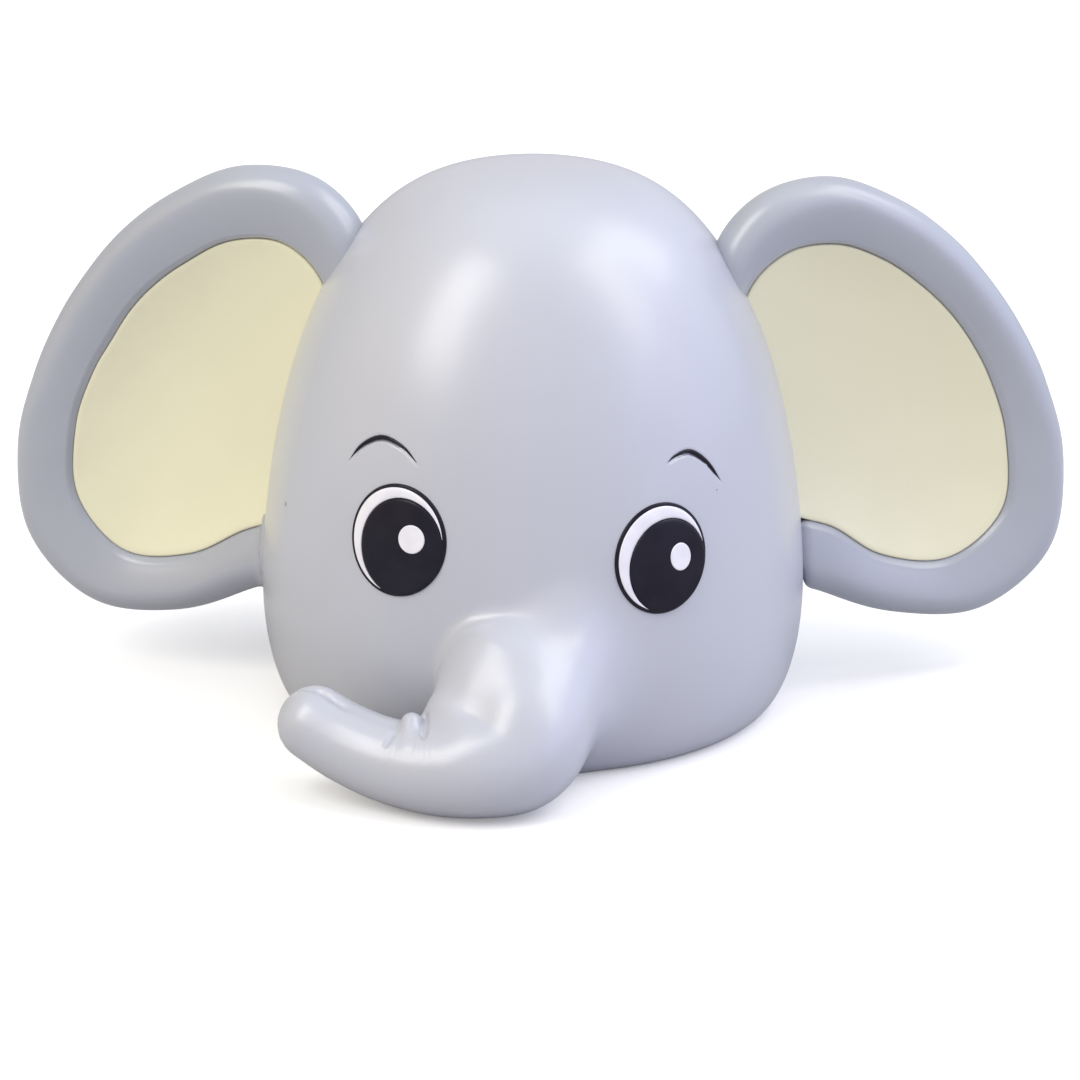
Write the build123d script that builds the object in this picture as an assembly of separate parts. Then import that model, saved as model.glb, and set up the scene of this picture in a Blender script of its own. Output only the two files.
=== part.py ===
from build123d import *
import math
import os

# A moulded animal coin bank: an elephant's head that stands on its flat underside, with the coins inside.
# Millimetres. +Z is up and the face looks along -Y. The origin is on the table, under the middle of the
# bounding box. Left and right are the animal's own, so its left ear is on the +X side.

# ---------------------------------------------------------------- driving dimensions
HEAD_BACK = 12.8  # the head's own axis stands this far behind the origin
HEAD_HEIGHT = 108.7
HEAD_RADIUS = 54.06
WIDEST_HEIGHT = 24.0
BASE_RADIUS = 45.7
SIDE_POWER = 2 / 2.942  # how square the shoulder is, sideways
CROWN_POWER = 2 / 1.781  # and upwards
WALL = 3.0
GLUE_GAP = 0.1

BASE_RECESS_RADIUS = 31.0
BASE_RECESS_DEPTH = 2.0
FLOOR_TOP = BASE_RECESS_DEPTH + WALL

TRUNK_WALL = 3.0
TRUNK_STATIONS = [  # x, y, z of the trunk's middle line and its radius, from the head to the tip
    (0.5, -40.0, 22.0, 16.3),
    (0.5, -50.5, 19.6, 14.8),
    (1.0, -60.0, 15.3, 12.9),
    (-1.0, -65.4, 11.4, 11.0),
    (-8.0, -67.7, 9.7, 9.6),
    (-16.5, -66.4, 8.7, 8.6),
    (-25.0, -63.2, 9.1, 7.9),
    (-32.6, -60.0, 11.1, 7.5),
    (-38.8, -57.3, 13.9, 7.2),
]
TRUNK_HEEL = (-11.6, -61.0, 17.2, 6.2)  # the solid bump above the bend, on the animal's right
TUBE_STEP = 0.15  # each tapered length is this much slimmer than the balls it joins
NOSTRIL_RADIUS = 1.8
NOSTRIL_LIFT = 0.6  # height of the nostril groove's middle line over the top of the tip
CREASE_RADIUS = 1.4
CREASE_STATIONS = (5, 6)

SLOT_LENGTH = 38.0
SLOT_HEIGHT = 5.0
SLOT_Z = 84.0

SIDES = {"right": -1, "left": 1}
EAR_ROOT_X = 50.0
EAR_ROOT_Y = 4.0
EAR_SWEEP = 20.0  # degrees back from straight sideways
EAR_THICKNESS = 11.0
EAR_ROUND = 5.0
EAR_OUTLINES = {
    "right": [  # along the ear and up
        (8.6, 18.7),
        (24.3, 12.6),
        (43.4, 12.4),
        (57.7, 25.0),
        (59.8, 44.1),
        (55.4, 60.0),
        (49.5, 72.2),
        (42.6, 82.3),
        (34.3, 91.6),
        (23.0, 100.0),
        (7.7, 106.6),
        (-9.8, 104.4),
        (-19.6, 89.3),
        (-15.1, 55.0),
        (-6.4, 27.5),
    ],
    "left": [  # along the ear and up
        (8.9, 19.6),
        (24.2, 13.9),
        (43.2, 12.9),
        (58.3, 24.5),
        (60.5, 43.8),
        (56.1, 60.0),
        (49.9, 72.4),
        (42.8, 82.5),
        (34.3, 91.7),
        (23.0, 99.8),
        (8.0, 105.3),
        (-7.8, 101.4),
        (-16.6, 86.9),
        (-15.0, 55.0),
        (-6.0, 28.0),
    ],
}
PANEL_OUTLINES = {
    "right": [  # along the ear and up
        (9.1, 31.5),
        (20.8, 25.4),
        (35.8, 24.4),
        (46.0, 35.0),
        (45.8, 49.9),
        (41.7, 61.0),
        (36.9, 68.8),
        (32.4, 75.4),
        (26.8, 81.2),
        (19.7, 86.4),
        (9.5, 91.8),
        (-2.9, 91.9),
        (-11.5, 81.6),
        (-11.0, 58.0),
        (-3.7, 38.5),
    ],
    "left": [  # along the ear and up
        (10.1, 33.7),
        (20.8, 26.8),
        (35.7, 24.8),
        (47.0, 34.1),
        (47.1, 49.4),
        (43.4, 61.3),
        (38.7, 70.0),
        (33.4, 76.9),
        (27.2, 82.7),
        (19.6, 88.1),
        (9.4, 92.1),
        (-2.1, 90.7),
        (-10.3, 80.8),
        (-11.0, 58.0),
        (-2.2, 39.7),
    ],
}
POCKET_FLOOR = 0.5  # in front of the ear's middle plane
PANEL_THICKNESS = 3.0
PANEL_CLEARANCE = 0.15
DISH_RADIUS = 150.0
DISH_DEPTH = 2.0
DISH_CENTRE = (21.0, 58.0)
NECK_LENGTH = 28.0
NECK_THICKNESS = 4.0
NECK_MIDDLE = (58.0, -2.5)  # height, and distance in front of the ear's middle plane
NECK_REACH = 11.0  # how far the neck goes in past the ear's root point
NECK_OVERLAP = 9.0

EYE_PLACES = {"right": (-27.3, 47.1), "left": (29.6, 43.8)}  # degrees round from the front, height
EYE_RADII = (10.1, 10.7)
EYE_RIM = 0.8
IRIS_SHIFT = (1.3, -1.4)
IRIS_RADII = (8.6, 9.3)
GLINT_SHIFT = (3.5, 0.3)
GLINT_RADII = (2.6, 2.7)
EYE_LAYERS = (GLUE_GAP, 0.6)  # heights over the head's skin of the black layer's two faces
PRINT_LAYERS = (0.65, 0.9)

BROW_PLACES = {"right": (-34.3, 65.1), "left": (38.8, 62.1)}
BROW_ENDS = {
    "right": ((-7.0, -4.2), (0.4, 1.5), (9.0, -2.1)),
    "left": ((-5.3, 0.1), (0.6, 1.4), (7.3, -5.8)),
}
BROW_WIDTH = 1.1
BROW_DEPTH = 0.8
BROW_PROUD = 0.15

OPENING_RADIUS = 23.0
COLLAR_RADIUS = OPENING_RADIUS - GLUE_GAP
COLLAR_FLANGE_RADIUS = 27.0
COLLAR_FLANGE = (0.7, BASE_RECESS_DEPTH - GLUE_GAP)
COLLAR_TOP = 7.5
COLLAR_BORE_RADIUS = 19.0
COUNTERBORE_RADIUS = 21.4
COUNTERBORE_TOP = 3.2
NOTCH_RADIUS = 21.4
NOTCH_HALF_ANGLE = 18.0
STOP_HEIGHT = 2.0
STOP_ANGLES = (75.5, 80.0)
STOP_INNER_RADIUS = 19.4

STOPPER_RADIUS = 18.6
STOPPER_FLANGE_RADIUS = 21.0
STOPPER_FLANGE = (0.6, 1.9)
STOPPER_CUP_RADIUS = 16.4
STOPPER_CUP_TOP = 8.0
LUG_RADIUS = 21.0
LUG_HALF_ANGLE = 14.0
LUG_HEIGHTS = (7.8, 9.8)
GRIP_THICKNESS = 4.0
GASKET_RADII = (STOPPER_RADIUS + GLUE_GAP, 21.0)
GASKET_HEIGHTS = (2.0, 3.1)


# ---------------------------------------------------------------- the head's form
def crown_radius(height):
    """Radius of the head's skin at a height above its widest ring."""
    rise = (height - WIDEST_HEIGHT) / (HEAD_HEIGHT - WIDEST_HEIGHT)
    sine = rise ** (1 / CROWN_POWER)
    return HEAD_RADIUS * (1 - sine * sine) ** (SIDE_POWER / 2)


def head_solid(grow=0.0, bottom=0.0):
    """The head as one solid of revolution, its skin moved out by grow, cut flat at bottom."""
    quarter = math.pi / 2
    crown = []
    for step in range(13):
        angle = quarter * step / 12
        radius = (HEAD_RADIUS + grow) * max(math.cos(angle), 0.0) ** SIDE_POWER
        rise = (HEAD_HEIGHT - WIDEST_HEIGHT + grow) * math.sin(angle) ** CROWN_POWER
        crown.append((radius, WIDEST_HEIGHT + rise))
    crown[-1] = (0.0, HEAD_HEIGHT + grow)
    jowl = []
    for step in range(7):
        angle = quarter * step / 6
        radius = BASE_RADIUS + grow + (HEAD_RADIUS - BASE_RADIUS) * math.sin(angle)
        jowl.append((radius, WIDEST_HEIGHT - (WIDEST_HEIGHT - bottom) * math.cos(angle)))
    profile = [
        Spline(jowl, tangents=[(1, 0), (0, 1)]),
        Spline(crown, tangents=[(0, 1), (-1, 0)]),
        Line((0, HEAD_HEIGHT + grow), (0, bottom)),
        Line((0, bottom), jowl[0]),
    ]
    return revolve(Plane.XZ * make_face(Curve() + profile), axis=Axis.Z)


def skin_plane(azimuth, height):
    """The plane that touches the head's skin, its x level, its y up the skin, its z outwards."""
    radius = crown_radius(height)
    lean = (crown_radius(height + 0.01) - crown_radius(height - 0.01)) / 0.02
    turn = math.radians(azimuth)
    outward = Vector(math.sin(turn), -math.cos(turn), 0)
    return Plane(
        origin=outward * radius + Vector(0, 0, height),
        x_dir=Vector(math.cos(turn), math.sin(turn), 0),
        z_dir=(outward - Vector(0, 0, lean)).normalized(),
    )


def skin_layer(outline, plane, low, high):
    """The outline carried straight on to the head's skin, between two heights over it."""
    column = extrude(plane * outline, amount=8, both=True)
    return (column & head_solid(high)) - head_solid(low)


# ---------------------------------------------------------------- the trunk
def ball_chain(stations, inset):
    """Balls at the stations, each joined to the next by a tapered length."""
    chain = None
    for x, y, z, radius in stations:
        ball = Pos(x, y, z) * Sphere(radius - inset)
        chain = ball if chain is None else chain + ball
    for start, end in zip(stations, stations[1:]):
        run = Vector(*end[:3]) - Vector(*start[:3])
        middle = (Vector(*end[:3]) + Vector(*start[:3])) * 0.5
        length = Cone(start[3] - inset - TUBE_STEP, end[3] - inset - TUBE_STEP, run.length)
        chain += Plane(origin=middle, z_dir=run.normalized()) * length
    return chain


def trunk_cuts():
    """The nostril groove along the top of the tip and the two creases behind it."""
    first, second = [Vector(x, y, z + radius + NOSTRIL_LIFT) for x, y, z, radius in TRUNK_STATIONS[-2:]]
    run = second - first
    along_tip = Plane(origin=(first + second) * 0.5, z_dir=run.normalized())
    cuts = along_tip * Cylinder(NOSTRIL_RADIUS, run.length)
    cuts += Pos(*first) * Sphere(NOSTRIL_RADIUS) + Pos(*second) * Sphere(NOSTRIL_RADIUS)
    for station in CREASE_STATIONS:
        x, y, z, radius = TRUNK_STATIONS[station]
        before = Vector(*TRUNK_STATIONS[station - 1][:3])
        after = Vector(*TRUNK_STATIONS[station + 1][:3])
        across = (after - before).cross(Vector(0, 0, 1)).normalized()
        bar = Cylinder(CREASE_RADIUS, radius)
        cuts += Plane(origin=(x, y, z + radius), z_dir=across) * bar
    return cuts


# ---------------------------------------------------------------- the ears
def ear_plane(side):
    """The ear's middle plane: x along the ear, y up, z towards the front of the head."""
    turn = math.radians(EAR_SWEEP)
    return Plane(
        origin=(side * EAR_ROOT_X, EAR_ROOT_Y, 0),
        x_dir=(side * math.cos(turn), math.sin(turn), 0),
        z_dir=(math.sin(turn) * side, -math.cos(turn), 0),
    )


def mirrored(points, side):
    """Outline points for one ear: the plane's y axis hangs down on the -X side, so they turn over."""
    return [(along, side * up) for along, up in points]


def closed_outline(points, side):
    return make_face(Spline(mirrored(points, side), periodic=True))


def neck(side, grow):
    """The tongue at the ear's root, which goes through an oval hole in the head's wall."""
    height, forward = NECK_MIDDLE
    plane = ear_plane(side)
    start = plane.from_local_coords(Vector(-NECK_REACH - 3 * grow, side * height, forward))
    along = plane.x_dir
    section = SlotOverall(NECK_LENGTH + 2 * grow, NECK_THICKNESS + 2 * grow)
    length = NECK_REACH + NECK_OVERLAP + 3 * grow
    return extrude(Plane(origin=start, x_dir=(0, 0, 1), z_dir=along) * section, amount=length)


def ear(side_name):
    """The grey ear: a thick plate with a full round edge, a pocket in front and a neck at its root."""
    side = SIDES[side_name]
    plane = ear_plane(side)
    plate = extrude(closed_outline(EAR_OUTLINES[side_name], side), amount=EAR_THICKNESS / 2, both=True)
    plate = fillet(plate.edges(), EAR_ROUND)
    pocket = extrude(closed_outline(PANEL_OUTLINES[side_name], side), amount=EAR_THICKNESS)
    placed = plane * (plate - Pos(0, 0, POCKET_FLOOR) * pocket)
    return placed - head_solid(GLUE_GAP) + neck(side, 0.0)


def ear_panel(side_name):
    """The cream insert that lies in the ear's pocket, with a shallow dish in its face."""
    side = SIDES[side_name]
    plane = ear_plane(side)
    along, up = DISH_CENTRE
    outline = []
    for point_along, point_up in PANEL_OUTLINES[side_name]:
        reach = math.hypot(point_along - along, point_up - up)
        keep = 1 - PANEL_CLEARANCE / reach
        outline.append((along + keep * (point_along - along), up + keep * (point_up - up)))
    low = POCKET_FLOOR + GLUE_GAP
    plate = Pos(0, 0, low) * extrude(closed_outline(outline, side), amount=PANEL_THICKNESS)
    ball_height = low + PANEL_THICKNESS + DISH_RADIUS - DISH_DEPTH
    plate -= Pos(along, side * up, ball_height) * Sphere(DISH_RADIUS)
    return plane * plate - head_solid(2 * GLUE_GAP)


# ---------------------------------------------------------------- eyes and brows
def eye_pieces(side_name):
    """One eye: the black layer, the white crescent and the glint that lie on it."""
    plane = skin_plane(*EYE_PLACES[side_name])
    white = Ellipse(EYE_RADII[0] - EYE_RIM, EYE_RADII[1] - EYE_RIM)
    crescent = white - Pos(*IRIS_SHIFT) * Ellipse(*IRIS_RADII)
    return {
        "eye_disc": skin_layer(Ellipse(*EYE_RADII), plane, *EYE_LAYERS),
        "eye_white": skin_layer(crescent, plane, *PRINT_LAYERS),
        "eye_glint": skin_layer(Pos(*GLINT_SHIFT) * Ellipse(*GLINT_RADII), plane, *PRINT_LAYERS),
    }


def brow_outline(side_name):
    """A thin arched stroke that tapers to a point at both ends."""
    first, top, last = BROW_ENDS[side_name]
    under = (top[0], top[1] - BROW_WIDTH)
    return make_face(Curve() + [ThreePointArc(first, top, last), ThreePointArc(last, under, first)])


def brow(side_name):
    plane = skin_plane(*BROW_PLACES[side_name])
    return skin_layer(brow_outline(side_name), plane, GLUE_GAP - BROW_DEPTH, BROW_PROUD)


def brow_groove(side_name):
    plane = skin_plane(*BROW_PLACES[side_name])
    return skin_layer(offset(brow_outline(side_name), GLUE_GAP), plane, -BROW_DEPTH, 2.0)


# ---------------------------------------------------------------- the base: collar, gasket, stopper
def disc(radius, heights):
    low, high = heights
    return Pos(0, 0, low) * extrude(Circle(radius), amount=high - low)


def sector(radius, start, end, heights):
    """A slice of a disc between two angles in degrees."""
    low, high = heights
    wedge = make_face(
        Curve()
        + [
            Line((0, 0), (radius * math.cos(math.radians(start)), radius * math.sin(math.radians(start)))),
            CenterArc((0, 0), radius, start, end - start),
            Line((radius * math.cos(math.radians(end)), radius * math.sin(math.radians(end))), (0, 0)),
        ]
    )
    return Pos(0, 0, low) * extrude(wedge, amount=high - low)


def base_collar():
    """The ring cemented into the base opening, with two notches for the stopper's lugs."""
    low = COLLAR_FLANGE[0]
    ring = disc(COLLAR_RADIUS, (low, COLLAR_TOP)) + disc(COLLAR_FLANGE_RADIUS, COLLAR_FLANGE)
    ring -= disc(COLLAR_BORE_RADIUS, (low - 1, COLLAR_TOP + 1))
    ring -= disc(COUNTERBORE_RADIUS, (low - 1, COUNTERBORE_TOP))
    stop_top = COLLAR_TOP + STOP_HEIGHT
    for middle in (0, 180):
        notch_ends = (middle - NOTCH_HALF_ANGLE, middle + NOTCH_HALF_ANGLE)
        ring -= sector(NOTCH_RADIUS, *notch_ends, (low - 1, COLLAR_TOP + 1))
        stop_ends = [middle + angle for angle in STOP_ANGLES]
        stop = sector(COLLAR_RADIUS, *stop_ends, (COLLAR_TOP, stop_top))
        ring += stop - disc(STOP_INNER_RADIUS, (0, stop_top + 1))
    return ring


def stopper():
    """The twist-off stopper: a cup open below, with a bar to turn it by and two lugs at its top."""
    body = disc(STOPPER_RADIUS, (STOPPER_FLANGE[0], LUG_HEIGHTS[1]))
    body += disc(STOPPER_FLANGE_RADIUS, STOPPER_FLANGE)
    body -= disc(STOPPER_CUP_RADIUS, (0, STOPPER_CUP_TOP))
    grip_foot = STOPPER_FLANGE[0]
    grip = extrude(Rectangle(2 * STOPPER_RADIUS, GRIP_THICKNESS), amount=STOPPER_CUP_TOP + 0.5 - grip_foot)
    body += Pos(0, 0, grip_foot) * grip & disc(STOPPER_RADIUS - 1, (0, STOPPER_CUP_TOP + 1))
    for middle in (0, 180):
        body += sector(LUG_RADIUS, middle - LUG_HALF_ANGLE, middle + LUG_HALF_ANGLE, LUG_HEIGHTS)
    return body


def stopper_gasket():
    return disc(GASKET_RADII[1], GASKET_HEIGHTS) - disc(GASKET_RADII[0], (0, GASKET_HEIGHTS[1] + 1))


# ---------------------------------------------------------------- the head shell
def head_shell():
    """Head and trunk as one hollow moulding, open at the coin slot, the base and the ear sockets."""
    shell = head_solid() + ball_chain(TRUNK_STATIONS, 0.0) + ball_chain([TRUNK_HEEL], 0.0)
    shell -= head_solid(-WALL, FLOOR_TOP)
    shell -= ball_chain(TRUNK_STATIONS[:-1], TRUNK_WALL)
    shell -= trunk_cuts()
    shell -= disc(BASE_RECESS_RADIUS, (-1, BASE_RECESS_DEPTH))
    shell -= disc(OPENING_RADIUS, (-1, FLOOR_TOP + 1))
    slot = Rectangle(SLOT_LENGTH, SLOT_HEIGHT)
    shell -= Pos(0, HEAD_RADIUS / 2, SLOT_Z) * extrude(Plane.XZ * slot, amount=-HEAD_RADIUS)
    for side in SIDES.values():
        shell -= neck(side, GLUE_GAP)
    for side_name in BROW_PLACES:
        shell -= brow_groove(side_name)
    return shell


def all_pieces():
    pieces = {
        "head_shell": head_shell(),
        "base_collar": base_collar(),
        "stopper_gasket": stopper_gasket(),
        "stopper": stopper(),
    }
    for side_name in SIDES:
        pieces[f"{side_name}_ear"] = ear(side_name)
        pieces[f"{side_name}_ear_panel"] = ear_panel(side_name)
        pieces[f"{side_name}_brow"] = brow(side_name)
        for name, solid in eye_pieces(side_name).items():
            pieces[f"{side_name}_{name}"] = solid
    return pieces


os.makedirs("parts", exist_ok=True)
for node, solid in all_pieces().items():
    placed = Pos(0, HEAD_BACK, 0) * solid
    export_step(placed, f"parts/{node}.step")
    size = placed.bounding_box().size
    print(f"{node}: {size.X:.1f} x {size.Y:.1f} x {size.Z:.1f} mm, {len(placed.solids())} solid")
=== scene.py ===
# %% [markdown]
# # An elephant's-head coin bank
# The real thing is a hollow vinyl moulding: a head that is nearly a body of revolution, with a trunk curled
# along the table in front of it. Two ears are plugged into its sides, each with a cream insert. The eyes
# and brows are painted. Underneath, a twist-off stopper closes the hole that the coins come out by. The
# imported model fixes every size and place, so each step starts from it and only adds the finish.

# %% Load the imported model
import math

import bmesh
import bpy
import numpy as np
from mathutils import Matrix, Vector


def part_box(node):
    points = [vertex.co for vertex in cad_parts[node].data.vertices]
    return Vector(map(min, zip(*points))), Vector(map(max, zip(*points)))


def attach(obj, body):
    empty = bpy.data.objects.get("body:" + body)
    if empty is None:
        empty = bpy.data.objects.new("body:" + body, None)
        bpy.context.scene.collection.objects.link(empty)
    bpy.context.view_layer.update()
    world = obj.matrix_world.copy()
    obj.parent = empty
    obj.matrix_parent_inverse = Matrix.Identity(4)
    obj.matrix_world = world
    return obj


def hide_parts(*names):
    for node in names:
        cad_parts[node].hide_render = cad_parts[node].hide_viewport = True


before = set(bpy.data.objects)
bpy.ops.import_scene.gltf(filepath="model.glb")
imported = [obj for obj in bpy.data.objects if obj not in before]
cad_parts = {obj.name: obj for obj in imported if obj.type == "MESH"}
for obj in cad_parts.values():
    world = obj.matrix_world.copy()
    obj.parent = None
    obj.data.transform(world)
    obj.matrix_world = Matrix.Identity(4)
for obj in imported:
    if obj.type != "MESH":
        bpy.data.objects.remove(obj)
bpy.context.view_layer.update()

import openvdb
from mathutils import Vector

MM = 0.001
collar_low, collar_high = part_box("base_collar")
shell_low, shell_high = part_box("head_shell")
HEAD_BACK = (collar_low.y + collar_high.y) / 2 / MM
HEAD_HEIGHT = shell_high.z / MM
print("head axis at y", round(HEAD_BACK, 2), "height", round(HEAD_HEIGHT, 1))

# %% [markdown]
# ## Camera, floor and light
# A bank like this is shown on a white table in a light tent. So the light is an even surround with soft
# glows in it, a little warmer on one side and bluer on the other, and tall soft boxes that draw long pale
# highlights down the crown. Plain lamps would leave small hard spots on a satin skin. The camera is a long
# lens, a little above the toy and almost straight in front of it.

# %% Camera
CAMERA_TURN, CAMERA_RISE, CAMERA_DISTANCE = math.radians(2.0), math.radians(18.0), 0.8
CAMERA_LENS = 133.33
camera_target = Vector((0.001408, HEAD_BACK * MM, 0.0321))
camera_back = Vector(
    (
        math.sin(CAMERA_TURN) * math.cos(CAMERA_RISE),
        -math.cos(CAMERA_TURN) * math.cos(CAMERA_RISE),
        math.sin(CAMERA_RISE),
    )
)
camera = bpy.data.objects.new("camera", bpy.data.cameras.new("camera"))
camera.data.lens = CAMERA_LENS
camera.data.sensor_width = 36.0
camera.location = camera_target + camera_back * CAMERA_DISTANCE
camera.rotation_euler = (-camera_back).to_track_quat("-Z", "Y").to_euler()
bpy.context.collection.objects.link(camera)
bpy.context.scene.camera = camera
bpy.context.scene.view_settings.view_transform = "Standard"


# %% [markdown]
# ## Shader maths in plain Python
# Every finish below is a node tree. Writing `0.3 + 0.1 * speckle` is easier to read than linking nodes by
# hand, so one small class wraps a socket and turns the operators into Math nodes. Anything else, such as a
# noise or a bump, comes from one method that takes the node's type, its settings and its sockets.

# %% A socket that does maths, and a finish that makes nodes
class Value:
    """A shader socket: arithmetic on it adds Math nodes."""

    def __init__(self, tree, socket):
        self.tree = tree
        self.socket = socket

    def maths(self, operation, *terms):
        node = self.tree.nodes.new("ShaderNodeMath")
        node.operation = operation
        for socket, term in zip(node.inputs, terms):
            if isinstance(term, Value):
                self.tree.links.new(term.socket, socket)
            else:
                socket.default_value = term
        return Value(self.tree, node.outputs[0])

    def __add__(self, other):
        return self.maths("ADD", self, other)

    def __mul__(self, other):
        return self.maths("MULTIPLY", self, other)

    def __pow__(self, other):
        return self.maths("POWER", self, other)

    def ramp(self, start, end):
        """0 below start, 1 above end, smooth between."""
        node = self.tree.nodes.new("ShaderNodeMapRange")
        node.interpolation_type = "SMOOTHSTEP"
        node.inputs["From Min"].default_value = start
        node.inputs["From Max"].default_value = end
        self.tree.links.new(self.socket, node.inputs["Value"])
        return Value(self.tree, node.outputs["Result"])

    __radd__ = __add__
    __rmul__ = __mul__


class Finish:
    """A material under construction: one Principled shader, and the nodes that vary it."""

    def __init__(self, name, **fixed):
        self.material = bpy.data.materials.new(name)
        self.material.use_nodes = True
        self.tree = self.material.node_tree
        self.shader = self.tree.nodes["Principled BSDF"]
        for socket, amount in fixed.items():
            label = socket.replace("_", " ").title().replace("Ior", "IOR")
            self.shader.inputs[label].default_value = amount
        self.place = self.node("ShaderNodeTexCoord", output="Object")

    def node(self, kind, settings=(), output=0, **sockets):
        made = self.tree.nodes.new(kind)
        for name, setting in dict(settings).items():
            setattr(made, name, setting)
        for name, item in sockets.items():
            socket = made.inputs[name.replace("_", " ")]
            if isinstance(item, Value):
                self.tree.links.new(item.socket, socket)
            else:
                socket.default_value = item
        return Value(self.tree, made.outputs[output])

    def noise(self, size, detail=2.0, roughness=0.5):
        """Soft random values about 0.5, with features about size metres across."""
        return self.node(
            "ShaderNodeTexNoise", Vector=self.place, Scale=1.0 / size, Detail=detail, Roughness=roughness
        )

    def blend(self, amount, first, second):
        """A colour between two colours."""
        made = self.tree.nodes.new("ShaderNodeMix")
        made.data_type = "RGBA"
        self.tree.links.new(amount.socket, made.inputs[0])
        for socket, colour in ((made.inputs[6], first), (made.inputs[7], second)):
            if isinstance(colour, Value):
                self.tree.links.new(colour.socket, socket)
            else:
                socket.default_value = (*colour, 1.0)
        return Value(self.tree, made.outputs[2])

    def feed(self, **sockets):
        for name, item in sockets.items():
            self.tree.links.new(item.socket, self.shader.inputs[name.replace("_", " ")])

    def relief(self, height, depth):
        """A bump of the given depth in metres, from heights of 0 to 1."""
        self.feed(Normal=self.node("ShaderNodeBump", Height=height, Distance=depth, Strength=1.0))


# %% Floor
def pale_floor():
    """A white table. It looks white, but it throws back only half of the light, as a glossy table does."""
    bpy.ops.mesh.primitive_plane_add(size=60.0)
    floor = bpy.context.object
    floor.name = "floor"
    white = (1.0, 1.0, 1.0, 1.0)
    finish = Finish("table_white", roughness=0.55, emission_color=white, emission_strength=0.22)
    finish.feed(Base_Color=finish.blend(finish.noise(0.15), (0.94, 0.935, 0.94), (0.96, 0.955, 0.955)))
    dull = finish.tree.nodes.new("ShaderNodeBsdfDiffuse")
    dull.inputs["Color"].default_value = (0.53, 0.525, 0.53, 1.0)
    seen = finish.node("ShaderNodeLightPath", output="Is Camera Ray")
    both = finish.tree.nodes.new("ShaderNodeMixShader")
    finish.tree.links.new(seen.socket, both.inputs["Fac"])
    finish.tree.links.new(dull.outputs["BSDF"], both.inputs[1])
    finish.tree.links.new(finish.shader.outputs["BSDF"], both.inputs[2])
    finish.tree.links.new(both.outputs["Shader"], finish.tree.nodes["Material Output"].inputs["Surface"])
    floor.data.materials.append(finish.material)


pale_floor()


# %% Surround and soft boxes
def new_object(name, data):
    made = bpy.data.objects.new(name, data)
    bpy.context.collection.objects.link(made)
    return made


def soft_box(name, place, aim, size, power, colour):
    light = new_object(name, bpy.data.lights.new(name, "AREA"))
    light.data.shape = "RECTANGLE"
    light.data.size, light.data.size_y = size
    light.data.energy = power
    light.data.color = colour
    light.location = place
    light.rotation_euler = (aim - place).to_track_quat("-Z", "Y").to_euler()


def direction(turn, rise):
    """A unit direction from the bank, from a turn from its front and a rise above the table in degrees."""
    turn, rise = math.radians(turn), math.radians(rise)
    flat = math.cos(rise)
    return Vector((flat * math.sin(turn), -flat * math.cos(turn), math.sin(rise)))


def surround(even, glows):
    """An even surround with soft glows in it: each is a turn, a rise and the colour it adds.

    The camera itself sees a plain white wall there.
    """
    world = bpy.data.worlds.new("surround")
    bpy.context.scene.world = world
    world.use_nodes = True
    tree = world.node_tree
    sight = tree.nodes.new("ShaderNodeTexCoord").outputs["Generated"]
    total = tree.nodes.new("ShaderNodeCombineXYZ").outputs["Vector"]
    for socket, amount in zip(total.node.inputs, even):
        socket.default_value = amount
    for turn, rise, colour in glows:
        facing = tree.nodes.new("ShaderNodeVectorMath")
        facing.operation = "DOT_PRODUCT"
        tree.links.new(sight, facing.inputs[0])
        facing.inputs[1].default_value = direction(turn, rise)
        towards = Value(tree, facing.outputs["Value"])
        towards = towards.maths("MAXIMUM", towards, 0.0) ** GLOW_SPREAD
        added = tree.nodes.new("ShaderNodeVectorMath")
        added.operation = "MULTIPLY_ADD"
        tree.links.new(towards.socket, added.inputs[0])
        added.inputs[1].default_value = colour
        tree.links.new(total, added.inputs[2])
        total = added.outputs["Vector"]
    light = tree.nodes["Background"]
    tree.links.new(total, light.inputs["Color"])
    light.inputs["Strength"].default_value = 1.0
    wall = tree.nodes.new("ShaderNodeBackground")
    wall.inputs["Color"].default_value = (1.0, 1.0, 1.0, 1.0)
    both = tree.nodes.new("ShaderNodeMixShader")
    tree.links.new(tree.nodes.new("ShaderNodeLightPath").outputs["Is Camera Ray"], both.inputs["Fac"])
    tree.links.new(light.outputs["Background"], both.inputs[1])
    tree.links.new(wall.outputs["Background"], both.inputs[2])
    tree.links.new(both.outputs["Shader"], tree.nodes["World Output"].inputs["Surface"])


GLOW_SPREAD = 6.0
GLOWS = (
    (180, 8, (0.30, 0.28, 0.34)),
    (120, 15, (0.50, 0.62, 0.85)),
    (75, 12, (0.90, 0.95, 1.60)),
    (0, 12, (0.50, 0.49, 0.62)),
    (-75, 12, (0.75, 0.56, 0.22)),
    (0, 90, (0.62, 0.66, 0.80)),
)
surround((0.38, 0.38, 0.35), GLOWS)
MIDDLE = Vector((0.0, HEAD_BACK * MM, 0.06))
BOX_DISTANCE = 1.4
for name, turn, rise, size, power, colour in (
    ("box_left", -51, 44, (0.5, 1.05), 8.9, (1.0, 0.99, 0.93)),
    ("box_right", 67, 48, (0.42, 1.0), 4.4, (1.0, 0.96, 0.83)),
    ("box_side", 105, 50, (0.6, 0.8), 4.2, (1.0, 1.0, 0.95)),
):
    soft_box(name, MIDDLE + direction(turn, rise) * BOX_DISTANCE, MIDDLE, size, power, colour)


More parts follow.
